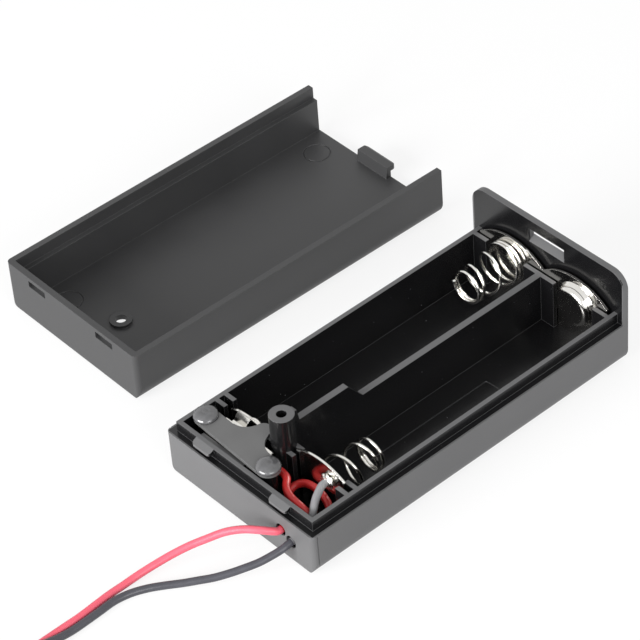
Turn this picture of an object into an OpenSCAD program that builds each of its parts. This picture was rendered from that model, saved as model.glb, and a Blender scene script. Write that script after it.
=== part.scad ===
// Holder for two round cells side by side, with a slide switch, two leads and a slide-on cover.
// The tray stands on the table; the cover lies upside down behind it. +X runs from the wire end
// to the tall end panel, +Y points to the cover, and z = 0 is the table.

/* [Cells] */
// Diameter of one cell
cell_d = 14.5; // [13.5:0.1:15]
// Length of one cell over its button
cell_len = 50.5; // [48:0.1:52]
// Side play of a cell in its bay
cell_play = 0.3; // [0.2:0.05:0.8]
// Length that a spring takes when a cell presses it
spring_room = 6.4; // [5:0.1:8]

/* [Case] */
// Thickness of the floor and of the cover's top
floor_t = 1.2; // [1:0.1:1.6]
// Height of the shelf that the cover's wall stands on
shelf_h = 8.7; // [8:0.1:9.5]
// Free height over a cell when the cover is on
head_room = 2; // [1.8:0.1:4]
// Height of the locating rim above the shelf
rim_h = 1.9; // [1.6:0.1:2.2]
// Thickness of the locating rim
rim_t = 0.8; // [0.7:0.05:1]
// Distance from the outer face in to the rim
rim_inset = 1.3; // [1.1:0.05:1.6]
// Radius of the long outer edges
edge_r = 3; // [2:0.1:3.2]
// Radius of the upright corners and of the end edges
corner_r = 0.9; // [0.5:0.1:1.2]
// Thickness of the tall end panel
panel_t = 1.15; // [1:0.05:1.6]
// Distance of the mould's parting line from the wire end
parting_x = 1; // [0.9:0.1:2]
// Depth and width of the parting line and of the ejectors' rings
mark = 0.12; // [0.05:0.01:0.2]
// Thickness of the divider between the cells
divider_t = 1.2; // [1:0.1:1.6]
// Height of the low part of the divider
divider_low_h = 10.6; // [9.5:0.1:11.5]
// Height of the raised part of the divider beside the screw boss
divider_high_h = 14.2; // [13:0.1:15]
// Length of the raised part of the divider, past the boss
divider_high_l = 11.3; // [9:0.1:14]
// Length of the ramp between both parts of the divider
ramp_l = 2.9; // [2:0.1:4]

// Place of the plain field in the front bay's floor
field_x = 1; // [0:0.5:14]
// Length of the plain field
field_l = 27; // [10:1:32]
// Width of the plain field
field_w = 5; // [3:0.1:8]

/* [Screw boss] */
// Outer diameter of the boss
boss_d = 4.2; // [3.8:0.1:4.6]
// Height of the boss above the table
boss_top = 17; // [16:0.1:17.5]
// Diameter of the pilot hole
pilot_d = 1.7; // [1.4:0.05:1.9]
// Depth of the pilot hole
pilot_depth = 10; // [6:0.5:12]
// Diameter of the screw hole in the cover
screw_d = 2; // [1.8:0.05:2.2]
// Diameter of the rings that the ejector pins left
ejector_d = 4.6; // [3:0.1:6]
// Distance of the ejector rings from the cover's ends and sides
ejector_inset = 4.8; // [4.6:0.1:8]
// Outer diameter of the ring round the screw hole
ring_d = 4; // [3.6:0.1:4.6]
// Diameter of the countersink in the cover's top
sink_d = 3.6; // [3:0.1:4]

/* [Cover] */
// Gap between the cover and each face that it seats on
cover_gap = 0.15; // [0.1:0.05:0.3]
// Width of the cover's tongue
tongue_w = 7.8; // [6:0.1:10]
// Reach of the tongue past the cover's open end
tongue_reach = 1.3; // [1.1:0.1:2]
// Thickness of the tongue
tongue_t = 1; // [0.8:0.05:1.3]
// Clear height under the tongue, from the cover's top face
tongue_lift = 2.5; // [2.2:0.05:3]
// Play over the tongue in the panel's slot
slot_play = 0.65; // [0.2:0.05:0.8]
// Height of the ramp that leads the tongue into the slot
slot_ramp = 0.9; // [0:0.1:1.2]
// Width of each catch on the wire end
catch_w = 4.2; // [3.6:0.1:5.6]
// Distance of each catch from the centre line
catch_y = 9.1; // [7.5:0.1:10]
// Radius of the catches' outer corners
catch_r = 0.6; // [0.2:0.1:1]
// Height of each catch at the rim
catch_t = 1; // [0.8:0.05:1.1]
// Height of each catch at its outer end
catch_tip_t = 0.4; // [0.3:0.05:0.6]
// Turn of the loose cover on the table, in degrees
cover_turn = -0.8; // [-4:0.1:2]
// Place of the loose cover's closed end along the tray
cover_x = 6.7; // [0:0.1:10]
// Distance between the centre lines of the tray and the loose cover
cover_y = 50.4; // [42:0.1:60]

/* [Contacts] */
// Thickness of the nickelled contact strip
strip_t = 0.4; // [0.3:0.05:0.5]
// Room for wires and the switch, from the wire end's inner face to the near contacts
wiring_room = 8.05; // [7.9:0.05:9]
// Room behind the bridge contact
back_gap = 0.9; // [0.8:0.05:1.6]
// Top of the bridge contact's lobes
bridge_h = 13.7; // [13:0.1:14.6]
// Rise of a lobe above its ends
lobe_rise = 2.6; // [1.6:0.1:3.2]
// Top of the negative contact
minus_h = 12.7; // [12:0.1:13.4]
// Diameter of the pressed button on the bridge contact
button_d = 8.6; // [7:0.1:9.6]
// Height of the pressed button on the bridge contact
button_h = 1.7; // [1.3:0.1:2.2]
// Diameter of the pressed button on the positive contact
plus_button_d = 4.6; // [4:0.1:5]
// Height of the pressed button on the positive contact
plus_button_h = 1.1; // [0.9:0.1:1.4]
// Radius of the buttons' shoulders
shoulder_r = 1; // [0.6:0.1:1]
// Depth of the fold in the positive contact's leaf, between the switch and the cell
leaf_dip = 1.2; // [0.6:0.1:1.6]
// Width of the upright ribs that hold the contacts
rib_t = 0.8; // [0.6:0.05:1]
// Clear width between a pair of ribs
rib_gap = 1.1; // [0.9:0.05:1.4]
// Reach of a short rib from its wall
rib_reach = 2.2; // [1.8:0.1:3]

/* [Springs] */
// Diameter of the spring wire
wire_d = 0.55; // [0.45:0.05:0.65]
// Outer diameter of a spring at its foot
spring_foot_d = 8; // [7:0.1:9]
// Outer diameter of a spring at its tip
spring_tip_d = 6.2; // [5:0.1:7]
// Free length of the spring on the negative contact
spring_l = 11.2; // [9:0.1:13]
// Distance of the negative contact's spring below the cell's axis
spring_drop = 2.2; // [0:0.1:2.6]
// Free length of the spring on the bridge contact
bridge_spring_l = 10.2; // [9:0.1:12]

/* [Switch] */
// Place of the switch's middle across the tray
switch_y = 6.3; // [5.8:0.1:6.8]
// Distance from the wire end's inner face to the middle of the slider
switch_x = 2.65; // [2.5:0.05:2.8]
// Travel of the slider
travel = 2.8; // [2:0.1:3]
// Length of the slider
slider_l = 7.4; // [7:0.1:7.8]
// Width of the slider
slider_w = 3.4; // [3:0.1:3.6]
// Running clearance round the slider
slide_gap = 0.1; // [0.05:0.01:0.15]
// Length of the knob
knob_l = 4.4; // [3.6:0.1:5]
// Width of the knob
knob_w = 3.4; // [3:0.1:3.8]
// Depth of the finger recess round the knob
recess_depth = 1.9; // [1.6:0.1:2.2]
// Height of the underside of the switch plate
plate_z = 10.6; // [10.2:0.1:11]
// Thickness of the switch plate
plate_t = 0.6; // [0.5:0.05:0.8]
// Distance from the edge of a melted head in to the plate's end
plate_inset = 0.1; // [0:0.05:0.3]
// Diameter of the posts that hold the plate
post_d = 2.2; // [2:0.1:2.4]
// Diameter of the posts' shoulders
shoulder_d = 2.8; // [2.6:0.1:3]
// Diameter of the melted heads
head_d = 4.2; // [3.6:0.1:4.6]
// Height of the melted heads
head_h = 1; // [0.8:0.1:1.3]

/* [Leads] */
// Diameter of each lead
lead_d = 1.3; // [1.1:0.05:1.5]
// Diameter of the holes that the leads leave through
lead_hole_d = 2.2; // [1.7:0.05:2.3]
// Length of each soldered joint
solder_l = 0.9; // [0.7:0.05:1.1]
// Radius of the middle of a coil's turns
coil_r = 7; // [6.5:0.1:7.8]
// Turns side by side in each coil
coil_turns = 3; // [3:1:4]
// Thickness of the tie round both coils
tie_t = 0.3; // [0.2:0.05:0.5]
// Width of the tie
tie_w = 2; // [1.5:0.1:3]

/* [Hidden] */
$fn = 48;
eps = 0.01;
plastic = [0.12, 0.12, 0.13];
nickel = [0.82, 0.82, 0.8];

// The case, sized round its cells
wall_t = rim_inset + rim_t;
bay_w = cell_d + cell_play;
case_w = 2 * (bay_w + wall_t) + divider_t;
case_l = wall_t + wiring_room + strip_t + cell_len + spring_room + back_gap + panel_t;
case_h = 2 * floor_t + cell_d + head_room;
rim_top = shelf_h + rim_h;
x_near = -case_l / 2;
x_far = case_l / 2;
x_in = x_near + wall_t;
x_panel = x_far - panel_t;
y_in = case_w / 2 - wall_t;
y_bay = (divider_t + bay_w) / 2;
z_cell = floor_t + cell_d / 2;

// The contacts' middle planes, and the ribs before and behind each one
plus_x = x_in + wiring_room;
bridge_x = x_panel - back_gap;
rib_step = (rib_gap + rib_t) / 2;
boss_x = plus_x - 0.2;
plate_half = y_in - 0.6;
lobe_w = (2 * plate_half) / 2;
lobe_r = (pow(lobe_w / 2, 2) + pow(lobe_rise, 2)) / (2 * lobe_rise);

// The switch
slider_x = x_in + switch_x;
off_y = switch_y + travel / 2;
recess_w = knob_w + 1.2;
recess_l = knob_l + travel + 1;
stem_l = 2.4;
stem_w = 2.2;
pad_top = recess_depth + floor_t;
pad_wall = 1.2;
strip_z = plate_z - strip_t;
rail_x = slider_w / 2 + slide_gap;
rail_l = (slider_l + travel) / 2;
rail_t = 0.8;
terminal_y = [switch_y - rail_l - 1.6, switch_y - rail_l + 1];
leg_x = slider_x + rail_x + rail_t - 1;
leg_w = 1.4;
leg_y = terminal_y[0] - leg_w / 2 + 0.6;
leg_z = strip_z - 2.2;
leaf_y = [switch_y + 1.9, switch_y + 4.8];
leaf_bend_x = slider_x + rail_x + rail_t + 0.1;
post_rear = [slider_x + 0.4, switch_y + rail_l + shoulder_d / 2 + 0.5];
post_front = [slider_x - 0.4, terminal_y[0] - shoulder_d / 2 - 0.85];
plate_lobe = [slider_x + 4.6, switch_y - 2];
plate_lobe_r = 1.5;
lobe_gap = slider_l / 2 - 0.6;

// The lead holes, from the wire end's corner
red_hole = [5.5 - y_in, floor_t + 4.4];
black_hole = [3.2 - y_in, floor_t + 3.3];

// Routes of the wires inside the wire end, from the solder joint to the lead hole
red_joint = [leg_x + strip_t / 2, leg_y - leg_w / 2 - solder_l, leg_z + 0.8];
black_joint = [plus_x - strip_t / 2 - solder_l, -y_bay - 2.55, minus_h - 2.9];
corner = [x_in, -y_in, floor_t];
red_inner = concat([for (p = [[0, 0, 0], [0, -1.3, 0]]) red_joint + p],
    [for (p = [
        [4, 10.6, 7.7], [2.8, 9.4, 7.8], [1.9, 8, 7.9], [1.5, 6.3, 7.8], [1.5, 4.5, 7.5],
        [1.8, 3, 6.7], [2.6, 2, 5.7], [3.9, 1.5, 5.2], [5.3, 2.2, 5.1], [6.3, 3.8, 5.3],
        [6.8, 5.7, 5.6], [6.9, 7.7, 5.8], [6.6, 9.5, 5.6], [5.5, 10.6, 5.1], [3.9, 10.4, 4.6],
        [2.6, 9.1, 4.2], [1.8, 7.4, 4], [0.9, 6, 4.1], [-0.6, 5.5, 4.4]]) corner + p],
    [[x_near, red_hole[0], red_hole[1]]]);
black_inner = concat([for (p = [[0, 0, 0], [-0.9, -0.2, 0.1]]) black_joint + p],
    [for (p = [
        [5, 4.1, 8.7], [3.7, 3.4, 8.5], [2.4, 2.5, 8.1], [1.3, 1.6, 7.3], [0.9, 1, 6],
        [0.9, 1.1, 4.7], [1, 2, 3.7], [0.5, 2.9, 3.3], [-0.8, 3.2, 3.3]]) corner + p],
    [[x_near, black_hole[0], black_hole[1]]]);

// Routes of the leads outside, from the lead holes to the coils
red_route = [
    [x_near, -9.9, 5.6], [-35.4, -9.9, 5.7], [-36.2, -9.5, 6], [-37.6, -8.3, 6.4], [-39.3, -6.2, 6.3], [-41.2, -4.1, 5.6],
    [-43.4, -2.3, 4.5], [-45.8, -0.6, 3.4], [-48.4, 0.7, 2.4], [-51.2, 1.6, 1.6], [-54, 2.2, 1],
    [-57, 2.4, 0.7], [-60, 2.4, 0.7], [-63, 2.2, 0.7], [-66, 2, 0.7], [-69, 2, 0.7], [-72, 2, 0.7],
    [-75, 2, 0.7], [-78, 2, 0.8], [-81, 2, 0.9], [-84, 2, 1]];
black_route = [
    [x_near, -12.2, 4.5], [-35.4, -12.2, 4.4], [-36.6, -12.1, 4.1], [-38.3, -11.5, 3.5],
    [-40.3, -10.7, 2.9], [-42.4, -9.6, 2.4], [-44.4, -8.4, 1.9], [-46.4, -7, 1.4], [-48.3, -5.5, 1.1], [-50.3, -3.9, 0.8],
    [-52.4, -2.3, 0.7], [-54.8, -0.8, 0.7], [-57.4, 0.3, 0.7], [-60.2, 0.8, 0.7], [-63, 0.7, 0.7],
    [-66, 0.6, 0.7], [-69, 0.6, 0.7], [-72, 0.7, 1.1], [-75, 1.1, 1.7], [-78, 1.6, 2.1],
    [-81, 2, 2.3], [-84, 2, 2.3]];
coil_x = -84;
coil_y = 2 - coil_r - (coil_turns - 1) / 2 * lead_d;
coil_out = coil_r + coil_turns / 2 * lead_d;
coil_in = coil_r - coil_turns / 2 * lead_d;

// ---- Shared shapes ----

// A flat outline with its low corners rounded by low and its high corners by high.
module rounded(size, low, high) {
    x = size[0] / 2;
    y = size[1];
    for (side = [-1, 1]) {
        translate([side * (x - low), low]) circle(r = low);
        translate([side * (x - high), y - high]) circle(r = high);
    }
    translate([-x, low]) square([2 * x, y - low - high]);
    translate([low - x, 0]) square([2 * (x - low), low + eps]);
    translate([high - x, y - high - eps]) square([2 * (x - high), high + eps]);
}

// The same outline with square high corners.
module trough(size, low) {
    x = size[0] / 2;
    for (side = [-1, 1]) translate([side * (x - low), low]) circle(r = low);
    translate([-x, low]) square([2 * x, size[1] - low]);
    translate([low - x, 0]) square([2 * (x - low), low + eps]);
}

// Stands a YZ outline up and runs it from x0 to x1.
module along_x(x0, x1) {
    translate([x0, 0, 0]) rotate([90, 0, 90]) linear_extrude(x1 - x0) children();
}

// Stands an XZ outline up and runs it from y0 to y1.
module along_y(y0, y1) {
    translate([0, y1, 0]) rotate([90, 0, 0]) linear_extrude(y1 - y0) children();
}

module box(x0, x1, y0, y1, z0, z1) {
    translate([x0, y0, z0]) cube([x1 - x0, y1 - y0, z1 - z0]);
}

// An open moulded shell's outside: long edges rounded by edge_r, the closed end's by corner_r.
module shell_form(length, height) {
    intersection() {
        along_x(0, length) trough([case_w, height], edge_r);
        linear_extrude(height) {
            for (side = [-1, 1])
                translate([corner_r, side * (case_w / 2 - corner_r)]) circle(r = corner_r);
            translate([corner_r, -case_w / 2]) square([length - corner_r, case_w]);
            translate([0, corner_r - case_w / 2]) square([length, case_w - 2 * corner_r]);
        }
        along_y(-case_w / 2, case_w / 2) {
            translate([corner_r, corner_r]) circle(r = corner_r);
            translate([corner_r, 0]) square([length - corner_r, height]);
            translate([0, corner_r]) square([length, height - corner_r]);
        }
    }
}

// ---- Swept wires ----

function unit(v) = v / norm(v);
function heading(p, i) = unit(p[min(i + 1, len(p) - 1)] - p[max(i - 1, 0)]);
function squared(v, t) = unit(v - (v * t) * t);
function sides_on(p, i, v) = i == len(p) ? [] :
    let (n = squared(v, heading(p, i))) concat([n], sides_on(p, i + 1, n));

module sweep(p, r, sides = 8, first = [0.1, 0.2, 1]) {
    n = sides_on(p, 0, first);
    last = (len(p) - 1) * sides;
    points = [for (i = [0 : len(p) - 1]) let (b = cross(heading(p, i), n[i]))
        for (k = [0 : sides - 1]) p[i] + r * (cos(360 * k / sides) * n[i] + sin(360 * k / sides) * b)];
    walls = [for (i = [0 : len(p) - 2]) for (k = [0 : sides - 1])
        let (a = i * sides + k, b = i * sides + (k + 1) % sides)
        for (f = [[a, a + sides, b], [b, a + sides, b + sides]]) f];
    ends = [[for (k = [0 : sides - 1]) k], [for (k = [sides - 1 : -1 : 0]) last + k]];
    polyhedron(points, concat(walls, ends));
}

// A cone spring on the X axis: closed turns at its foot and tip, open ones between.
module spring(length) {
    steps = 14;
    closed = 1.25;
    open = 2.5;
    coil_step = 1.06 * wire_d;
    turns = 2 * closed + open;
    rise = length - wire_d - 2 * closed * coil_step;
    function climb(t) = t < closed ? t * coil_step
        : t < closed + open ? closed * coil_step + (t - closed) * rise / open
        : closed * coil_step + rise + (t - closed - open) * coil_step;
    function reach(t) = spring_foot_d / 2 + (spring_tip_d - spring_foot_d) / 2
        * min(1, max(0, (t - closed) / open)) - wire_d / 2;
    sweep([for (i = [0 : turns * steps]) let (t = i / steps)
        [-wire_d / 2 - climb(t), reach(t) * cos(360 * t), reach(t) * sin(360 * t)]],
        wire_d / 2, 6, [1, 0, 0.01]);
}

// ---- Tray ----

module cell_bays() {
    box(x_in, x_panel, -y_in, y_in, floor_t, case_h);
}

module divider() {
    along_y(-divider_t / 2, divider_t / 2) polygon([
        [boss_x, 0.5], [bridge_x - strip_t, 0.5], [bridge_x - strip_t, divider_low_h],
        [boss_x + boss_d / 2 + divider_high_l + ramp_l, divider_low_h],
        [boss_x + boss_d / 2 + divider_high_l, divider_high_h], [boss_x, divider_high_h]]);
}

module screw_boss() {
    translate([boss_x, 0, 0.5]) cylinder(d = boss_d, h = boss_top - 0.5);
    along_y(-divider_t / 2, divider_t / 2) polygon([
        [boss_x, boss_top - 3], [boss_x + boss_d / 2 + 1, boss_top - 3],
        [boss_x + boss_d / 2 + 0.5, boss_top - 0.5], [boss_x, boss_top - 0.5]]);
}

// Upright ribs beside a contact: on both side walls and on both sides of the divider.
module contact_ribs(x, wall_reach, middle_reach, middle_y) {
    for (side = [-1, 1]) {
        y0 = side * middle_y;
        y1 = side * (middle_y + middle_reach);
        box(x - rib_t / 2, x + rib_t / 2, min(y0, y1), max(y0, y1), 0.5, rim_top);
        w0 = side * (y_in - wall_reach);
        w1 = side * (y_in + 0.5);
        box(x - rib_t / 2, x + rib_t / 2, min(w0, w1), max(w0, w1), 0.5, rim_top);
    }
}

module ribs() {
    contact_ribs(plus_x - rib_step, rib_reach, 2, boss_d / 2 - 0.9);
    contact_ribs(plus_x + rib_step, rib_reach, 2, boss_d / 2 - 0.9);
    contact_ribs(bridge_x - strip_t / 2 - 0.2 - rib_t / 2, rib_reach + 0.8, 3, divider_t / 2 - 0.1);
}

// Two ramps on the rim, round at their outer corners, for the slots in the cover's end.
module catches() {
    root = x_near + rim_inset + rim_t / 2;
    tip = x_near + cover_gap;
    low = rim_top - catch_t;
    for (side = [-1, 1]) translate([0, side * catch_y, 0]) intersection() {
        along_y(-catch_w / 2, catch_w / 2) polygon([[root, low], [root, rim_top],
            [x_near + rim_inset, rim_top], [tip, low + catch_tip_t], [tip, low]]);
        linear_extrude(case_h) translate([root, 0]) rotate(90)
            rounded([catch_w, root - tip], eps, catch_r);
    }
}

// The raised floor over the finger recess, with a rail on each side of the slider.
module switch_bed() {
    half_w = recess_w / 2 + pad_wall;
    half_l = recess_l / 2 + pad_wall;
    box(x_in - 0.5, slider_x + half_w, switch_y - half_l, switch_y + half_l, 0.5, pad_top);
    box(x_in - 0.5, slider_x - rail_x, switch_y - rail_l, switch_y + rail_l, 0.5, strip_z);
    box(slider_x + rail_x, slider_x + rail_x + rail_t, switch_y - rail_l, switch_y + rail_l, 0.5,
        strip_z);
    for (p = [post_rear, post_front]) translate([p[0], p[1], 0.5]) {
        cylinder(d = shoulder_d, h = plate_z - 0.5);
        cylinder(d = post_d, h = plate_z + plate_t - 0.4);
    }
    for (p = [post_rear, post_front]) translate([p[0], p[1], plate_z + plate_t]) melted_head();
}

module melted_head() {
    rotate_extrude() intersection() {
        translate([0, head_h - dome_r(head_d, head_h)]) circle(r = dome_r(head_d, head_h));
        square([head_d / 2, head_h]);
    }
}

// Radius of a dome of width d and height h.
function dome_r(d, h) = (d * d / 4 + h * h) / (2 * h);

module switch_openings() {
    translate([slider_x, switch_y, -1]) {
        box(-recess_w / 2, recess_w / 2, -recess_l / 2, recess_l / 2, 0, recess_depth + 1);
        box(-stem_w / 2 - slide_gap, stem_w / 2 + slide_gap, -(stem_l + travel) / 2 - slide_gap,
            (stem_l + travel) / 2 + slide_gap, 0, pad_top + 2);
    }
}

module lead_holes() {
    for (h = [red_hole, black_hole])
        translate([x_near - 1, h[0], h[1]]) rotate([0, 90, 0])
            cylinder(d = lead_hole_d, h = wall_t + 2);
}

// The mould's parting line, a fine groove down both long sides.
module parting_lines() {
    for (side = [-1, 1])
        translate([x_near + parting_x, side * case_w / 2, shelf_h / 2])
            cube([mark * 1.5, 2 * mark, shelf_h + 1], center = true);
}

// A shallow plain field in the floor of the front bay.
module bare_field() {
    translate([field_x, 0.6 - y_bay, floor_t - 0.15]) linear_extrude(1) intersection() {
        square([field_l, field_w], center = true);
        circle(d = norm([field_l, field_w]) - 0.3);
    }
}

module panel() {
    difference() {
        along_x(x_panel, x_far) rounded([case_w, case_h], edge_r, edge_r);
        slot_w = tongue_w + 2 * cover_gap;
        z1 = case_h - tongue_lift + slot_play;
        z0 = case_h - tongue_lift - tongue_t - cover_gap;
        along_y(-slot_w / 2, slot_w / 2) polygon([[x_panel - 1, z0 - slot_ramp],
            [x_panel, z0 - slot_ramp], [x_far, z0], [x_far + 1, z0], [x_far + 1, z1],
            [x_panel - 1, z1]]);
    }
}

module base_tray() {
    color(plastic) difference() {
        union() {
            difference() {
                union() {
                    translate([x_near, 0, 0]) shell_form(case_l - panel_t / 2, shelf_h);
                    box(x_near + rim_inset, x_panel + eps, rim_inset - case_w / 2,
                        case_w / 2 - rim_inset, shelf_h - 1, rim_top);
                }
                cell_bays();
            }
            panel();
            divider();
            ribs();
            screw_boss();
            catches();
            switch_bed();
        }
        switch_openings();
        lead_holes();
        bare_field();
        parting_lines();
        translate([boss_x, 0, boss_top - pilot_depth]) cylinder(d = pilot_d, h = pilot_depth + 1);
    }
}

// ---- Cover ----

module cover_body() {
    length = case_l - panel_t - cover_gap;
    height = case_h - shelf_h;
    ledge = case_h - rim_top - 0.4;
    lip_t = rim_inset - cover_gap;
    difference() {
        union() {
            difference() {
                shell_form(length, height);
                box(wall_t, length + 1, -y_in, y_in, floor_t, height + 1);
                box(lip_t, length + 1, lip_t - case_w / 2, case_w / 2 - lip_t, ledge, height + 1);
            }
            ring_h = case_h - boss_top - cover_gap;
            translate([boss_x - x_near, 0, 0.5]) cylinder(d = ring_d, h = ring_h - 0.5);
            tongue(length);
        }
        catch_slots(lip_t);
        ejector_rings(length);
        translate([boss_x - x_near, 0, -1]) cylinder(d = screw_d, h = case_h);
        translate([boss_x - x_near, 0, -eps])
            cylinder(d1 = sink_d, d2 = screw_d, h = (sink_d - screw_d) / 2);
    }
}

// A step up from the open edge, then the flat that reaches through the panel's slot.
module tongue(length) {
    intersection() {
        along_y(-tongue_w / 2, tongue_w / 2) polygon([
            [length - 1.2, floor_t - 0.5], [length, floor_t - 0.5], [length, tongue_lift],
            [length + tongue_reach, tongue_lift], [length + tongue_reach, tongue_lift + tongue_t - 0.3],
            [length + tongue_reach - 0.5, tongue_lift + tongue_t],
            [length - 0.8, tongue_lift + tongue_t]]);
        linear_extrude(case_h) translate([length + tongue_reach - 6, 0]) rotate(-90)
            rounded([tongue_w, 6], 0.1, 0.8);
    }
}

module ejector_rings(length) {
    for (x = [wall_t + ejector_inset, length - ejector_inset], side = [-1, 1])
        translate([x, side * (y_in - ejector_inset), floor_t - mark]) rotate_extrude()
            translate([ejector_d / 2, 0]) square([2 * mark, 1]);
}

module catch_slots(depth) {
    z1 = case_h - rim_top + catch_t + cover_gap;
    z0 = case_h - rim_top - cover_gap;
    for (side = [-1, 1])
        box(-1, depth + 1, side * catch_y - catch_w / 2 - cover_gap,
            side * catch_y + catch_w / 2 + cover_gap, z0, z1);
}

module cover() {
    color(plastic) translate([x_near + cover_x, cover_y, 0]) rotate(cover_turn) cover_body();
}

// ---- Switch ----

module switch_plate() {
    color([0.45, 0.45, 0.46]) difference() {
        translate([0, 0, plate_z]) linear_extrude(plate_t) plate_outline();
        for (p = [post_rear, post_front]) translate([p[0], p[1], plate_z - 1])
            cylinder(d = post_d + 2 * slide_gap, h = plate_t + 2);
    }
}

// A strip between both posts, with a third lobe over the contacts.
module plate_outline() {
    r = head_d / 2 - plate_inset;
    run = post_rear - post_front;
    side = [run[1], -run[0]] / norm(run);
    for (p = [post_rear, post_front]) translate(p) circle(r = r);
    polygon([post_rear - r * side, post_front - r * side, post_front + r * side,
        post_rear + r * side]);
    translate(plate_lobe) circle(r = plate_lobe_r);
    difference() {
        translate(plate_lobe) polygon([[0, 1.2], [-2, 4.4], [-4, 4.4], [-4.6, -5], [-2.9, -5],
            [0, -1.2]]);
        translate(plate_lobe + [0.6, 4.4]) circle(r = 2.9);
        translate(plate_lobe + [0.6, -5]) circle(r = 3.5);
    }
}

module switch_slider() {
    color([0.1, 0.1, 0.1]) translate([slider_x, off_y, 0]) {
        box(-stem_w / 2, stem_w / 2, -stem_l / 2, stem_l / 2, recess_depth - slide_gap - 0.1,
            pad_top + slide_gap + 0.1);
        difference() {
            box(-slider_w / 2, slider_w / 2, -slider_l / 2, slider_l / 2, pad_top + slide_gap,
                pad_top + slide_gap + 3.3);
            box(-slider_w, slider_w, -1.2, 1.2, pad_top + 2.6, pad_top + 9);
        }
        along_x(-knob_w / 2, knob_w / 2) knob_outline();
    }
}

// The knob's side view, with grip grooves across its finger face.
module knob_outline() {
    top = recess_depth - slide_gap;
    difference() {
        polygon([[-knob_l / 2, top], [-knob_l / 2, 0.7], [-knob_l / 2 + 0.4, 0.3],
            [knob_l / 2 - 0.4, 0.3], [knob_l / 2, 0.7], [knob_l / 2, top]]);
        for (k = [-2 : 2]) translate([k * knob_l / 6, 0.15]) circle(r = 0.32);
    }
}

// A bent strip on the slider. Its two humps rub on the strips under the switch plate.
module slider_contact() {
    z0 = pad_top + slide_gap + 3.3;
    z1 = strip_z - slide_gap;
    color(nickel) translate([slider_x, off_y, 0]) along_x(-1.1, 1.1) {
        translate([-slider_l / 2 + 0.2, z0]) square([slider_l - 0.4, strip_t]);
        for (side = [-1, 1]) hump(side, z0, z1);
    }
}

module hump(side, z0, z1) {
    y = side * lobe_gap;
    polygon([[y - 0.4, z0], [y + 0.4, z0], [y + 0.3, z1 - 0.2], [y + 0.1, z1], [y - 0.1, z1],
        [y - 0.3, z1 - 0.2]]);
}

// ---- Contacts ----

// A round-topped plate outline in Y and Z, one lobe for each cell.
module lobes(ys, top, half) {
    intersection() {
        for (y = ys) translate([y, top - lobe_r]) circle(r = lobe_r, $fn = 96);
        translate([ys[0] - half, floor_t]) square([ys[len(ys) - 1] - ys[0] + 2 * half, top]);
    }
}

// The pressed button that a cell's cap or foot meets, with a rounded shoulder and a flat top.
module button(x, y, facing, d, h) {
    rise = strip_t / 2 + h;
    top_r = d / 2 - shoulder_r - 0.5;
    translate([x, y, z_cell]) rotate([0, 90 * facing, 0]) rotate_extrude() {
        polygon([[0, 0], [d / 2, 0], [top_r + shoulder_r, rise - shoulder_r], [top_r, rise],
            [0, rise]]);
        intersection() {
            translate([top_r, rise - shoulder_r]) circle(r = shoulder_r);
            translate([top_r, 0]) square([d, rise]);
        }
    }
}

// The edge view of a strip that is bent at each point between its ends.
module bent_strip(points) {
    for (i = [1 : len(points) - 1]) {
        run = points[i] - points[i - 1];
        translate(points[i - 1]) rotate(atan2(run[1], run[0])) translate([0, -strip_t / 2])
            square([norm(run), strip_t]);
        if (i < len(points) - 1) translate(points[i]) circle(d = strip_t, $fn = 24);
    }
}

module load_terminal() {
    color(nickel) {
        box(slider_x - slider_w / 2, leg_x + 0.6 + strip_t, terminal_y[0], terminal_y[1], strip_z,
            plate_z);
        box(leg_x, leg_x + strip_t, leg_y - leg_w / 2, leg_y + leg_w / 2, leg_z, plate_z);
    }
}

module positive_contact() {
    color(nickel) {
        along_x(plus_x - strip_t / 2, plus_x + strip_t / 2)
            lobes([y_bay + 0.5], plate_z, y_bay - boss_d / 2 - 0.4);
        along_y(leaf_y[0], leaf_y[1]) bent_strip([
            [slider_x - slider_w / 2, strip_z + strip_t / 2], [leaf_bend_x, strip_z + strip_t / 2],
            [leaf_bend_x + leaf_dip / 2, strip_z - leaf_dip],
            [plus_x - leaf_dip, strip_z - leaf_dip], [plus_x, plate_z - strip_t / 2]]);
        button(plus_x, y_bay, 1, plus_button_d, plus_button_h);
    }
}

module negative_contact() {
    color(nickel) along_x(plus_x - strip_t / 2, plus_x + strip_t / 2)
        lobes([-y_bay - 0.5], minus_h, y_bay - boss_d / 2 - 0.4);
}

module bridge_contact() {
    color(nickel) {
        along_x(bridge_x - strip_t / 2, bridge_x + strip_t / 2)
            lobes([-lobe_w / 2, lobe_w / 2], bridge_h, lobe_w / 2);
        button(bridge_x, -y_bay, -1, button_d, button_h);
    }
}

module negative_spring() {
    color(nickel) translate([plus_x + strip_t / 2, -y_bay, z_cell - spring_drop]) mirror([1, 0, 0])
        spring(spring_l);
}

module bridge_spring() {
    color(nickel) translate([bridge_x - strip_t / 2, y_bay, z_cell]) spring(bridge_spring_l);
}

// ---- Wires and leads ----

module red_wire() {
    color("firebrick") sweep(red_inner, lead_d / 2);
}

module black_wire() {
    color("dimgray") sweep(black_inner, lead_d / 2);
}

module red_solder() {
    color("silver") translate(red_joint) rotate([-90, 0, 0])
        cylinder(d1 = lead_d, d2 = lead_d + 0.5, h = solder_l);
}

module black_solder() {
    color("silver") translate(black_joint) rotate([0, 90, 0])
        cylinder(d1 = lead_d, d2 = lead_d + 0.9, h = solder_l);
}

module red_lead() {
    color("salmon") sweep(red_route, lead_d / 2);
}

module black_lead() {
    color("dimgray") sweep(black_route, lead_d / 2);
}

module coil(layer) {
    translate([coil_x, coil_y, tie_t + layer * lead_d]) rotate_extrude($fn = 64)
        translate([coil_in, 0]) square([coil_out - coil_in, lead_d]);
}

module red_coil() {
    color("salmon") coil(0);
}

module black_coil() {
    color("dimgray") coil(1);
}

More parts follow.
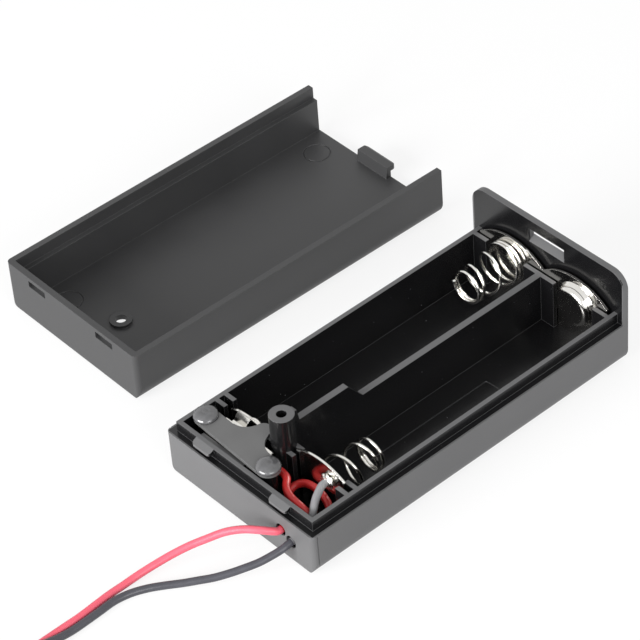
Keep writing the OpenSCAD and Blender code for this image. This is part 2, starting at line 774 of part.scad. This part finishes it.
module lead_tie() {
    slack = 0.15;
    height = 2 * lead_d + 2 * tie_t;
    color("black") translate([coil_x, coil_y, 0]) rotate(200) difference() {
        box(coil_in - slack - tie_t, coil_out + slack + tie_t, -tie_w / 2, tie_w / 2, 0, height);
        box(coil_in - slack, coil_out + slack, -tie_w, tie_w, tie_t, height - tie_t);
    }
}

base_tray();
cover();
switch_plate();
switch_slider();
slider_contact();
load_terminal();
positive_contact();
negative_contact();
negative_spring();
bridge_contact();
bridge_spring();
red_wire();
black_wire();
red_solder();
black_solder();
red_lead();
black_lead();
red_coil();
black_coil();
lead_tie();
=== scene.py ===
"""A two-cell battery holder with its cover off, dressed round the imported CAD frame."""

import math

import bmesh
import bpy
from mathutils import Matrix, Vector, noise


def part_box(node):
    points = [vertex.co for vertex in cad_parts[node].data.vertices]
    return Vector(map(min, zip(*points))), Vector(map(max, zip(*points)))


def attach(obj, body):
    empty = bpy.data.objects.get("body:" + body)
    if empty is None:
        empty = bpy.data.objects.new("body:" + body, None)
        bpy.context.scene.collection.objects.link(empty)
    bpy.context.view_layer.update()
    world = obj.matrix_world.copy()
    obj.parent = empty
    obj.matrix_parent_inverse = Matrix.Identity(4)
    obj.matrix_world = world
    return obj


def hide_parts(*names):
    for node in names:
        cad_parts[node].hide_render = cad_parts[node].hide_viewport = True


MM = 0.001
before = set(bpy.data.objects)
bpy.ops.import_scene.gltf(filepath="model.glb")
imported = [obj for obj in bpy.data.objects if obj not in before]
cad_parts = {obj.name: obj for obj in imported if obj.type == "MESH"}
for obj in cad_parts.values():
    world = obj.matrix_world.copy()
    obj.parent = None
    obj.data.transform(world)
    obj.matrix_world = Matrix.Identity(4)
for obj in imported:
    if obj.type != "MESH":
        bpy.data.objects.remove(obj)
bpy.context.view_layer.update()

# ---- Camera ----

LENS = 178.8
SENSOR_WIDTH = 36
CAMERA_SHIFT = (-0.0014, 0.0006)
CAMERA_PLACE = Vector((-247.25, -287.22, 354.48)) * MM
CAMERA_RIGHT = Vector((0.74092, -0.66869, -0.06242))
CAMERA_UP = Vector((0.47763, 0.45932, 0.74893))


def make_camera():
    data = bpy.data.cameras.new("camera")
    data.lens = LENS
    data.sensor_width = SENSOR_WIDTH
    data.shift_x, data.shift_y = CAMERA_SHIFT
    data.clip_start = 0.01
    camera = bpy.data.objects.new("camera", data)
    bpy.context.scene.collection.objects.link(camera)
    axes = Matrix((CAMERA_RIGHT, CAMERA_UP, CAMERA_RIGHT.cross(CAMERA_UP))).transposed()
    camera.matrix_world = Matrix.Translation(CAMERA_PLACE) @ axes.to_4x4()
    bpy.context.scene.camera = camera


make_camera()

# ---- Shader nodes ----

MATH = "ShaderNodeMath"
EDGE_SAMPLES = 6
EDGE_CONTRAST = 8


class Value:
    """A socket in a node tree. Python's operators on it add Math nodes."""

    def __init__(self, maker, socket):
        self.maker = maker
        self.socket = socket

    def math(self, operation, other=0.0, reflected=False, clamp=False):
        pair = (other, self) if reflected else (self, other)
        settings = {"operation": operation, "use_clamp": clamp}
        return self.maker.value(MATH, settings, {0: pair[0], 1: pair[1]})

    def __add__(self, other):
        return self.math("ADD", other)

    def __rsub__(self, other):
        return self.math("SUBTRACT", other, reflected=True)

    def __mul__(self, other):
        return self.math("MULTIPLY", other)

    def __gt__(self, other):
        return self.math("GREATER_THAN", other)

    def __lt__(self, other):
        return self.math("LESS_THAN", other)

    __radd__ = __add__
    __rmul__ = __mul__

    def either(self, other):
        return self.math("MAXIMUM", other)

    def both(self, other):
        return self.math("MINIMUM", other)

    def size(self):
        return self.math("ABSOLUTE")

    def clamped(self):
        return self.math("ADD", 0.0, clamp=True)


class Maker:
    """Adds nodes to one tree."""

    def __init__(self, tree):
        self.tree = tree
        tree.nodes.clear()

    def node(self, kind, settings=None, inputs=None):
        made = self.tree.nodes.new(kind)
        for name, setting in (settings or {}).items():
            if name == "stops":
                self.set_stops(made.color_ramp, setting)
            else:
                setattr(made, name, setting)
        for name, entry in (inputs or {}).items():
            self.feed(made.inputs[name], entry)
        return made

    def feed(self, socket, entry):
        if isinstance(entry, Value):
            self.tree.links.new(entry.socket, socket)
        elif isinstance(entry, bpy.types.NodeSocket):
            self.tree.links.new(entry, socket)
        else:
            socket.default_value = entry

    def value(self, kind, settings=None, inputs=None, output=0):
        return Value(self, self.node(kind, settings, inputs).outputs[output])

    @staticmethod
    def set_stops(ramp, stops):
        while len(ramp.elements) < len(stops):
            ramp.elements.new(0.5)
        for element, (place, level) in zip(ramp.elements, stops):
            element.position = place
            element.color = (level, level, level, 1)


class Finish(Maker):
    """One procedural material on Object coordinates, in metres."""

    def __init__(self, name, **constants):
        self.material = bpy.data.materials.new(name)
        self.material.use_nodes = True
        super().__init__(self.material.node_tree)
        self.surface = self.node("ShaderNodeBsdfPrincipled", inputs=constants)
        output = self.node("ShaderNodeOutputMaterial")
        self.feed(output.inputs["Surface"], self.surface.outputs["BSDF"])
        self.coordinates = self.node("ShaderNodeTexCoord").outputs["Object"]
        self.rounded = None

    def axes(self):
        split = self.node("ShaderNodeSeparateXYZ", inputs={0: self.coordinates})
        return [Value(self, out) for out in split.outputs]

    def noise(self, size, detail=2.0, stretch=None):
        """Noise from 0 to 1 whose spots are about size metres wide."""
        place = self.coordinates
        if stretch:
            place = self.node("ShaderNodeMapping", inputs={"Vector": place, "Scale": stretch})
            place = place.outputs[0]
        inputs = {"Vector": place, "Scale": 1 / size, "Detail": detail}
        return self.value("ShaderNodeTexNoise", None, inputs)

    def ramp(self, value, *stops):
        inputs = {"Fac": value}
        return self.value("ShaderNodeValToRGB", {"stops": stops}, inputs)

    def blend(self, factor, first, second):
        """A colour from first to second as factor goes from 0 to 1."""
        colours = [c if isinstance(c, Value) else (*c, 1) for c in (first, second)]
        inputs = {"Factor": factor, 6: colours[0], 7: colours[1]}
        return self.value("ShaderNodeMix", {"data_type": "RGBA"}, inputs, output=2)

    def set(self, socket, value):
        self.feed(self.surface.inputs[socket], value)

    def soften_edges(self, radius):
        """Rounds the look of sharp edges, and returns a mask that is 1 on them."""
        settings = {"samples": EDGE_SAMPLES}
        self.rounded = self.node("ShaderNodeBevel", settings, {"Radius": radius}).outputs[0]
        flat = self.node("ShaderNodeNewGeometry").outputs["Normal"]
        inputs = {0: self.rounded, 1: flat}
        dot = self.value("ShaderNodeVectorMath", {"operation": "DOT_PRODUCT"}, inputs, output=1)
        return ((1 - dot) * EDGE_CONTRAST).clamped()

    def bump(self, height, depth):
        """Relief: height from 0 to 1 stands for depth metres."""
        inputs = {"Height": height, "Distance": depth, "Strength": 1.0}
        if self.rounded:
            inputs["Normal"] = self.rounded
        self.set("Normal", self.value("ShaderNodeBump", None, inputs))


# ---- Finishes ----

LEDGE_Z = 9
PANEL_SKIN = 0.9
FLOOR_SKIN = 1.05
WALL_SKIN = 0.3
MATT_BLACK = (0.085, 0.085, 0.087)
# The worn matt tone is lighter: random clouds and worn edges, and on edges also painted highlight.
WORN_LIT_MATT = (0.13, 0.13, 0.132)
# The polished black is near black: a polished finish, and painted shade for the tray's inside.
SHADED_POLISHED_BLACK = (0.006, 0.006, 0.0065)
DUST = (0.3, 0.3, 0.31)


def dust_on(finish, size, share):
    """A mask of pale dust specks of about size metres."""
    spots = finish.noise(size, 1)
    return finish.ramp(spots, (0.0, 0.0), (share, 0.0), (share + 0.03, 1.0))


def tray_plastic():
    """Matt outer faces and rim tops, lightened as painted light; a polished inside, darkened as
    painted shade.
    """
    finish = Finish("tray_plastic", **{"Specular IOR Level": 0.5})
    low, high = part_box("base_tray")
    skin = WALL_SKIN * MM
    x, y, z = finish.axes()
    normal = finish.node("ShaderNodeNewGeometry").outputs["Normal"]
    up = Value(finish, finish.node("ShaderNodeSeparateXYZ", inputs={0: normal}).outputs[2])
    sides = (y.size() > (high.y - skin)).either(x < (low.x + skin))
    outside = sides.either(x > (high.x - PANEL_SKIN * MM)).either(z < FLOOR_SKIN * MM)
    # Faces that point up above LEDGE_Z take the lighter matt colour as painted light on the rim
    # tops; the shelf below the rim stays near black as painted shade.
    lit_ledges = (up > 0.7).both(z > LEDGE_Z * MM)
    lit_matt = outside.either(lit_ledges)
    # This mask lightens the colour along edges, inside and out: partly wear, partly painted
    # highlight.
    worn_lit_edge = finish.soften_edges(0.12 * MM)
    clouds = finish.noise(9 * MM, 3)
    grain = finish.noise(0.18 * MM, 3)
    swirl = finish.noise(2.2 * MM, 4)
    dust = dust_on(finish, 0.4 * MM, 0.8)
    # The inside is near black: partly its polished finish, partly painted shade in the bays and
    # under the rim; the pale specks are dust.
    inner = finish.blend(dust * 0.7, SHADED_POLISHED_BLACK, DUST)
    inner = finish.blend(worn_lit_edge * 0.5, inner, WORN_LIT_MATT)
    outer = finish.blend((clouds * 0.5 + worn_lit_edge * 0.35).clamped(), MATT_BLACK, WORN_LIT_MATT)
    finish.set("Base Color", finish.blend(lit_matt, inner, outer))
    finish.set("Roughness", lit_matt * (0.42 + 0.14 * clouds) + (1 - lit_matt) * (0.16 + 0.12 * swirl))
    finish.bump(lit_matt * grain + (1 - lit_matt) * swirl * 0.3, 0.008 * MM)
    return finish.material


def cover_plastic():
    """Satin faces, a shade deeper than the tray's, with a little dust."""
    finish = Finish("cover_plastic", **{"Specular IOR Level": 0.5})
    worn_lit_edge = finish.soften_edges(0.12 * MM)
    clouds = finish.noise(11 * MM, 3)
    grain = finish.noise(0.18 * MM, 3)
    dust = dust_on(finish, 0.4 * MM, 0.83)
    # Edges lighten the colour: partly wear, partly painted highlight.
    light = (clouds * 0.6 + worn_lit_edge * 0.6).clamped()
    tone = finish.blend(light, (0.028, 0.028, 0.029), (0.05, 0.05, 0.051))
    finish.set("Base Color", finish.blend(dust * 0.5, tone, DUST))
    finish.set("Roughness", 0.38 + 0.14 * clouds)
    finish.bump(grain, 0.006 * MM)
    return finish.material


def slider_plastic():
    finish = Finish("slider_plastic", **{"Specular IOR Level": 0.5})
    worn_lit_edge = finish.soften_edges(0.08 * MM)
    clouds = finish.noise(2 * MM, 3)
    # Edges lighten the colour: partly wear, partly painted highlight.
    light = (clouds * 0.4 + worn_lit_edge * 0.4).clamped()
    finish.set("Base Color", finish.blend(light, (0.03, 0.03, 0.03), WORN_LIT_MATT))
    finish.set("Roughness", 0.34 + 0.12 * clouds)
    finish.bump(finish.noise(0.15 * MM, 2), 0.005 * MM)
    return finish.material


def tie_plastic():
    finish = Finish("tie_plastic", **{"Specular IOR Level": 0.5})
    worn_lit_edge = finish.soften_edges(0.06 * MM)
    clouds = finish.noise(1.5 * MM, 3)
    # Edges lighten the colour: partly wear, partly painted highlight.
    light = (clouds * 0.3 + worn_lit_edge * 0.3).clamped()
    finish.set("Base Color", finish.blend(light, (0.02, 0.02, 0.02), WORN_LIT_MATT))
    finish.set("Roughness", 0.25 + 0.15 * clouds)
    finish.bump(clouds, 0.01 * MM)
    return finish.material


def plate_plastic():
    """The switch plate: smooth sheet with a soft sheen and fine handling marks."""
    finish = Finish("plate_sheet", **{"Specular IOR Level": 0.6})
    worn_lit_edge = finish.soften_edges(0.08 * MM)
    marks = finish.noise(0.7 * MM, 4, stretch=(1, 0.15, 1))
    clouds = finish.noise(5 * MM, 2)
    tone = finish.blend(clouds, (0.085, 0.085, 0.085), (0.12, 0.12, 0.12))
    # Edges lighten the colour: partly wear, partly painted highlight.
    finish.set("Base Color", finish.blend(worn_lit_edge * 0.3, tone, (0.2, 0.2, 0.2)))
    finish.set("Roughness", 0.3 + 0.15 * marks)
    finish.bump(marks, 0.003 * MM)
    return finish.material


def head_plastic():
    """The posts' melted heads: glossy, slightly rippled plastic."""
    finish = Finish("melted_head", **{"Specular IOR Level": 0.8})
    ripples = finish.noise(0.9 * MM, 3)
    finish.set("Base Color", finish.blend(ripples, (0.05, 0.05, 0.052), (0.12, 0.12, 0.125)))
    finish.set("Roughness", 0.1 + 0.2 * ripples)
    finish.bump(ripples, 0.06 * MM)
    return finish.material


def nickel():
    finish = Finish("bright_nickel", Metallic=1.0)
    tarnish = finish.noise(1.6 * MM, 3)
    lines = finish.noise(0.25 * MM, 2, stretch=(1, 1, 0.12))
    finish.soften_edges(0.05 * MM)
    finish.set("Base Color", finish.blend(tarnish, (0.82, 0.81, 0.78), (0.66, 0.64, 0.6)))
    finish.set("Roughness", 0.08 + 0.1 * tarnish + 0.04 * lines)
    finish.bump(lines, 0.001 * MM)
    return finish.material


def solder():
    finish = Finish("solder", Metallic=1.0)
    frost = finish.noise(0.35 * MM, 3)
    finish.set("Base Color", finish.blend(frost, (0.85, 0.85, 0.83), (0.62, 0.6, 0.57)))
    finish.set("Roughness", 0.14 + 0.25 * frost)
    finish.bump(frost, 0.03 * MM)
    return finish.material


def insulation(name, colour, deep, roughness):
    """Extruded soft insulation with faint waves in its gloss."""
    finish = Finish(name, **{"Specular IOR Level": 0.5})
    waves = finish.noise(1.8 * MM, 2)
    finish.set("Base Color", finish.blend(waves, deep, colour))
    finish.set("Roughness", roughness + 0.12 * waves)
    finish.bump(waves, 0.02 * MM)
    return finish.material


TRAY_PLASTIC = tray_plastic()
COVER_PLASTIC = cover_plastic()
SLIDER_PLASTIC = slider_plastic()
PLATE_PLASTIC = plate_plastic()
HEAD_PLASTIC = head_plastic()
TIE_PLASTIC = tie_plastic()
NICKEL = nickel()
SOLDER = solder()
RED_PVC = insulation("red_insulation", (0.75, 0.12, 0.17), (0.66, 0.085, 0.125), 0.35)
INNER_RED_PVC = insulation("inner_red_insulation", (0.55, 0.025, 0.025), (0.4, 0.012, 0.012), 0.3)
BLACK_PVC = insulation("black_insulation", (0.06, 0.06, 0.072), (0.035, 0.035, 0.043), 0.3)
GREY_PVC = insulation("inner_black_insulation", (0.3, 0.3, 0.31), (0.2, 0.2, 0.21), 0.3)

# ---- Meshes ----


def link(name, data, material):
    piece = bpy.data.objects.new(name, data)
    bpy.context.scene.collection.objects.link(piece)
    piece.data.materials.clear()
    piece.data.materials.append(material)
    return piece


def smooth_path(points, steps=6):
    """Points on one smooth curve through all of the given ones."""
    knots = [Vector(p) for p in points]
    knots = [2 * knots[0] - knots[1]] + knots + [2 * knots[-1] - knots[-2]]
    path = []
    for a, b, c, d in zip(knots, knots[1:], knots[2:], knots[3:]):
        for step in range(steps):
            t = step / steps
            ease = (2 * a - 5 * b + 4 * c - d) * t**2
            bend = (3 * b - a - 3 * c + d) * t**3
            path.append((2 * b + (c - a) * t + ease + bend) / 2)
    return path + [knots[-2]]


def tube(name, paths, radius, material, roundness=5):
    """Round wires along paths, in metres, as one piece."""
    data = bpy.data.curves.new(name, "CURVE")
    data.dimensions = "3D"
    data.bevel_depth = radius
    data.bevel_resolution = roundness
    data.use_fill_caps = True
    for path in paths:
        spline = data.splines.new("POLY")
        spline.points.add(len(path) - 1)
        for point, place in zip(spline.points, path):
            point.co = (*place, 1)
        spline.use_smooth = True
    return link(name, data, material)


def on_holder(piece, slot, *nodes):
    """Fixes a piece to the holder, hiding the nodes that it stands for. The slot argument is not
    used.
    """
    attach(piece, "holder")
    if nodes:
        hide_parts(*nodes)
    return piece


def lump(name, centre, size, material, waves):
    """A closed round body with half sizes along X, Y and Z, made uneven by waves."""
    work = bmesh.new()
    bmesh.ops.create_uvsphere(work, u_segments=24, v_segments=14, radius=1)
    for vert in work.verts:
        wave = 1 + waves * noise.noise(vert.co * 2.3)
        vert.co = Vector(c + s * v * wave for c, s, v in zip(centre, size, vert.co))
    mesh = bpy.data.meshes.new(name)
    for face in work.faces:
        face.smooth = True
    work.to_mesh(mesh)
    work.free()
    return link(name, mesh, material)


# ---- Leads, lengths in millimetres ----

LEAD_D = 1.3
LEAD_LENGTH = 150
COIL_X = -84
COIL_PITCH = 1.31
STEPS_PER_TURN = 40
STRAND_D = 0.28
STRANDS_ROUND = 6
STRAND_TURNS = 0.8
TIP_LENGTH = 5
RED_ROUTE = [
    (-34.75, -9.9, 5.6), (-35.4, -9.9, 5.7), (-36.2, -9.5, 6), (-37.6, -8.3, 6.4),
    (-39.3, -6.2, 6.3), (-41.2, -4.1, 5.6), (-43.4, -2.3, 4.5), (-45.8, -0.6, 3.4),
    (-48.4, 0.7, 2.4), (-51.2, 1.6, 1.6), (-54, 2.2, 1), (-57, 2.4, 0.7), (-60, 2.4, 0.7),
    (-63, 2.2, 0.7), (-66, 2, 0.7), (-69, 2, 0.7), (-72, 2, 0.7), (-75, 2, 0.7), (-78, 2, 0.8),
    (-81, 2, 0.9), (-84, 2, 1),
]
BLACK_ROUTE = [
    (-34.75, -12.2, 4.5), (-35.4, -12.2, 4.4), (-36.6, -12.1, 4.1), (-38.3, -11.5, 3.5),
    (-40.3, -10.7, 2.9), (-42.4, -9.6, 2.4), (-44.4, -8.4, 1.9), (-46.4, -7, 1.4),
    (-48.3, -5.5, 1.1), (-50.3, -3.9, 0.8), (-52.4, -2.3, 0.7), (-54.8, -0.8, 0.7),
    (-57.4, 0.3, 0.7), (-60.2, 0.8, 0.7), (-63, 0.7, 0.7), (-66, 0.6, 0.7), (-69, 0.6, 0.7),
    (-72, 0.7, 1.1), (-75, 1.1, 1.7), (-78, 1.6, 2.1), (-81, 2, 2.3), (-84, 2, 2.3),
]


def path_length(path):
    return sum((b - a).length for a, b in zip(path, path[1:]))


def coiled(route, out_r):
    """The route in millimetres, then a flat spiral inwards until the lead has its length."""
    path = smooth_path(route)
    left = LEAD_LENGTH - path_length(path)
    turns = (out_r - math.sqrt(out_r**2 - left * COIL_PITCH / math.pi)) / COIL_PITCH
    steps = math.ceil(turns * STEPS_PER_TURN)
    for step in range(1, steps + 1):
        turned = turns * step / steps
        r = out_r - COIL_PITCH * turned
        a = math.pi / 2 + 2 * math.pi * turned
        path.append(Vector((COIL_X, route[-1][1] - out_r, route[-1][2])))
        path[-1] += Vector((r * math.cos(a), r * math.sin(a), 0))
    return path


def tinned_tip(name, start, direction):
    """Bare strands, twisted and tinned, that stand out of the insulation."""
    up = Vector((0, 0, 1))
    side = direction.cross(up)
    strands = []
    for k in range(STRANDS_ROUND + 1):
        r = 0.26 * MM if k else 0
        strand = []
        for step in range(13):
            along = step / 12
            a = 2 * math.pi * (k / STRANDS_ROUND + STRAND_TURNS * along)
            centre = start + direction * (along * TIP_LENGTH - 0.3) * MM
            strand.append(centre + r * (side * math.cos(a) + up * math.sin(a)))
        strands.append(strand)
    return on_holder(tube(name, strands, STRAND_D / 2 * MM, SOLDER, 2), "solder")


def lead(colour, route, material):
    coil_low, coil_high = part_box(colour + "_coil")
    out_r = (coil_high.x - coil_low.x) / MM / 2 - LEAD_D / 2
    path = [p * MM for p in coiled(route, out_r)]
    piece = tube(colour + "_lead_cord", [path], LEAD_D / 2 * MM, material)
    on_holder(piece, colour + "_pvc", colour + "_lead", colour + "_coil")
    heading = (path[-1] - path[-2]).normalized()
    tip = tinned_tip(colour + "_lead_tip", path[-1], heading)
    path_length(path)


lead("red", RED_ROUTE, RED_PVC)
lead("black", BLACK_ROUTE, BLACK_PVC)

# ---- Wires and joints in the wire end ----

RED_INNER = [
    (4, 10.6, 7.7), (2.8, 9.4, 7.8), (1.9, 8, 7.9), (1.5, 6.3, 7.8), (1.5, 4.5, 7.5),
    (1.8, 3, 6.7), (2.6, 2, 5.7), (3.9, 1.5, 5.2), (5.3, 2.2, 5.1), (6.3, 3.8, 5.3),
    (6.8, 5.7, 5.6), (6.9, 7.7, 5.8), (6.6, 9.5, 5.6), (5.5, 10.6, 5.1), (3.9, 10.4, 4.6),
    (2.6, 9.1, 4.2), (1.8, 7.4, 4), (0.9, 6, 4.1), (-0.6, 5.5, 4.4),
]
BLACK_INNER = [
    (5, 4.1, 8.7), (3.7, 3.4, 8.5), (2.4, 2.5, 8.1), (1.3, 1.6, 7.3), (0.9, 1, 6),
    (0.9, 1.1, 4.7), (1, 2, 3.7), (0.5, 2.9, 3.3), (-0.8, 3.2, 3.3),
]
WALL_T = 2.1
FLOOR_T = 1.2


def inner_wire(colour, start, lead_in, route, hole, material):
    """A wire from its solder joint, along a route from the wire end's inner corner, to its hole."""
    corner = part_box("base_tray")[0] / MM + Vector((WALL_T, WALL_T, FLOOR_T))
    knots = [start, start + Vector(lead_in), *[corner + Vector(p) for p in route], Vector(hole)]
    path = [p * MM for p in smooth_path(knots)]
    piece = tube(colour + "_inner_wire", [path], LEAD_D / 2 * MM, material)
    on_holder(piece, colour + "_pvc", colour + "_wire")


def middle(node):
    low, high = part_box(node)
    return (low + high) / 2


red_joint = middle("red_solder") / MM
red_joint.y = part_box("red_solder")[0].y / MM
black_joint = middle("black_solder") / MM
black_joint.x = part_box("black_solder")[0].x / MM
inner_wire("red", red_joint, (0, -1.3, 0), RED_INNER, RED_ROUTE[0], INNER_RED_PVC)
inner_wire("black", black_joint, (-0.9, -0.2, 0.1), BLACK_INNER, BLACK_ROUTE[0], GREY_PVC)


SOLDER_SPREAD = 0.62


def solder_joint(colour):
    low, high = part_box(colour + "_solder")
    centre = (low + high) / 2
    size = (high - low) * SOLDER_SPREAD
    piece = lump(colour + "_solder_joint", centre, size, SOLDER, 0.25)
    on_holder(piece, "solder", colour + "_solder")


solder_joint("red")
solder_joint("black")

# ---- Springs ----

SPRING_WIRE_D = 0.55
SPRING_TIP_D = 6.2
CLOSED_TURNS = 1.25
OPEN_TURNS = 2.5
CLOSED_STEP = 1.06 * SPRING_WIRE_D


def cone_spring(node, heading):
    """A cone spring along X, its wide foot first as seen along heading, which is 1 or -1."""
    low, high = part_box(node)
    length = (high.x - low.x) / MM
    foot_r = (high.y - low.y) / MM / 2 - SPRING_WIRE_D / 2
    tip_r = (SPRING_TIP_D - SPRING_WIRE_D) / 2
    foot_x = low.x if heading > 0 else high.x
    rise = length - SPRING_WIRE_D - 2 * CLOSED_TURNS * CLOSED_STEP
    path = []
    turns = 2 * CLOSED_TURNS + OPEN_TURNS
    for step in range(round(turns * STEPS_PER_TURN) + 1):
        t = step / STEPS_PER_TURN
        opened = min(1, max(0, (t - CLOSED_TURNS) / OPEN_TURNS))
        eased = opened * opened * (3 - 2 * opened)
        climb = (t - opened * OPEN_TURNS) * CLOSED_STEP + rise * (0.35 * eased + 0.65 * opened)
        r = foot_r + (tip_r - foot_r) * opened
        a = 2 * math.pi * t
        along = (SPRING_WIRE_D / 2 + climb) * heading
        path.append(Vector((along, r * math.cos(a), r * math.sin(a))) * MM)
    axis = Vector((foot_x, middle(node).y, middle(node).z))
    piece = tube(node + "_wire", [[axis + p for p in path]], SPRING_WIRE_D / 2 * MM, NICKEL)
    on_holder(piece, "nickel", node)


cone_spring("negative_spring", 1)
cone_spring("bridge_spring", -1)

# ---- Melted heads ----

HEAD_R = 2.1
HEAD_H = 1.05
HEAD_SIDES = 40
HEAD_RINGS = 10
PLATE_END_R = 2.0
REAR_HEAD_DX = 0.8


def melted_head(name, x, y, z):
    """A dome that spread over the plate as it melted, with a faint dimple on top."""
    work = bmesh.new()
    rows = []
    for ring in range(HEAD_RINGS + 1):
        a = math.pi / 2 * ring / HEAD_RINGS
        row = []
        for side in range(HEAD_SIDES):
            b = 2 * math.pi * side / HEAD_SIDES
            spread = HEAD_R * (1.012 + 0.02 * math.sin(2 * b + x) + 0.012 * math.sin(5 * b))
            flat = 1 - 0.14 * math.exp(-((math.cos(a) / 0.3) ** 2))
            height = HEAD_H * math.sin(a) ** 0.8 * flat
            r = spread * math.cos(a)
            place = Vector((x + r * math.cos(b) * MM, y + r * math.sin(b) * MM, z + height * MM))
            row.append(work.verts.new(place))
        rows.append(row)
    for lower, upper in zip(rows, rows[1:]):
        for k in range(HEAD_SIDES):
            n = (k + 1) % HEAD_SIDES
            work.faces.new((lower[k], lower[n], upper[n], upper[k]))
    work.faces.new(reversed(rows[0]))
    bmesh.ops.remove_doubles(work, verts=work.verts, dist=0.001 * MM)
    bmesh.ops.recalc_face_normals(work, faces=work.faces)
    for face in work.faces:
        face.smooth = len(face.verts) < 5
    mesh = bpy.data.meshes.new(name)
    work.to_mesh(mesh)
    work.free()
    on_holder(link(name, mesh, HEAD_PLASTIC), "black_plastic")


plate_low, plate_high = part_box("switch_plate")
front_x = plate_low.x + PLATE_END_R * MM
melted_head("front_melted_head", front_x, plate_low.y + PLATE_END_R * MM, plate_high.z)
rear_x = front_x + REAR_HEAD_DX * MM
melted_head("rear_melted_head", rear_x, plate_high.y - PLATE_END_R * MM, plate_high.z)

# ---- Finishes on the CAD pieces ----

for node_name, material in (
    ("base_tray", TRAY_PLASTIC),
    ("cover", COVER_PLASTIC),
    ("switch_plate", PLATE_PLASTIC),
    ("switch_slider", SLIDER_PLASTIC),
    ("slider_contact", NICKEL),
    ("load_terminal", NICKEL),
    ("positive_contact", NICKEL),
    ("negative_contact", NICKEL),
    ("bridge_contact", NICKEL),
    ("lead_tie", TIE_PLASTIC),
):
    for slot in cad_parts[node_name].material_slots:
        slot.material = material

# ---- Floor, lamps and world ----

FLOOR_HALF = 4.0
FLOOR_GLOW = 0.82
SKY_ON_OBJECT = 0.55


def make_floor():
    mesh = bpy.data.meshes.new("floor")
    half = FLOOR_HALF
    corners = [(-half, -half, 0), (half, -half, 0), (half, half, 0), (-half, half, 0)]
    mesh.from_pydata(corners, [], [(0, 1, 2, 3)])
    floor = Finish("pale_floor", Roughness=0.9)
    floor.set("Base Color", (0.9, 0.9, 0.9, 1))
    rays = floor.node("ShaderNodeLightPath").outputs
    seen = Value(floor, rays["Is Camera Ray"]).either(Value(floor, rays["Is Glossy Ray"]))
    seen = seen.either(Value(floor, rays["Is Transmission Ray"]))
    glow = floor.node("ShaderNodeEmission", inputs={"Color": (1, 1, 1, 1), "Strength": 1.0})
    both = floor.node(
        "ShaderNodeMixShader",
        inputs={0: seen * FLOOR_GLOW, 1: floor.surface.outputs[0], 2: glow.outputs[0]},
    )
    output = floor.tree.nodes["Material Output"]
    floor.feed(output.inputs["Surface"], both.outputs[0])
    link("floor", mesh, floor.material)


def make_world():
    world = bpy.data.worlds.new("studio")
    bpy.context.scene.world = world
    world.use_nodes = True
    sky = Maker(world.node_tree)
    rays = sky.node("ShaderNodeLightPath").outputs
    seen = Value(sky, rays["Is Camera Ray"]).either(Value(sky, rays["Is Glossy Ray"]))
    seen = seen.either(Value(sky, rays["Is Transmission Ray"]))
    strength = seen * (1 - SKY_ON_OBJECT) + SKY_ON_OBJECT
    glow = sky.node("ShaderNodeBackground", inputs={"Color": (1, 1, 1, 1), "Strength": strength})
    sky.node("ShaderNodeOutputWorld", inputs={"Surface": glow.outputs[0]})


def softbox(name, place, aim, size, power):
    data = bpy.data.lights.new(name, "AREA")
    data.shape = "RECTANGLE"
    data.size, data.size_y = size
    data.energy = power
    lamp = bpy.data.objects.new(name, data)
    bpy.context.scene.collection.objects.link(lamp)
    turn = (Vector(aim) - Vector(place)).to_track_quat("-Z", "Y")
    lamp.matrix_world = Matrix.Translation(Vector(place)) @ turn.to_matrix().to_4x4()


make_floor()
make_world()
softbox("left_softbox", (-0.75, 0.05, 0.26), (0, 0.02, 0), (0.5, 0.35), 10)
softbox("front_softbox", (-0.2, -0.8, 0.45), (0, 0.02, 0), (0.5, 0.4), 4)
bpy.context.scene.view_settings.view_transform = "Standard"
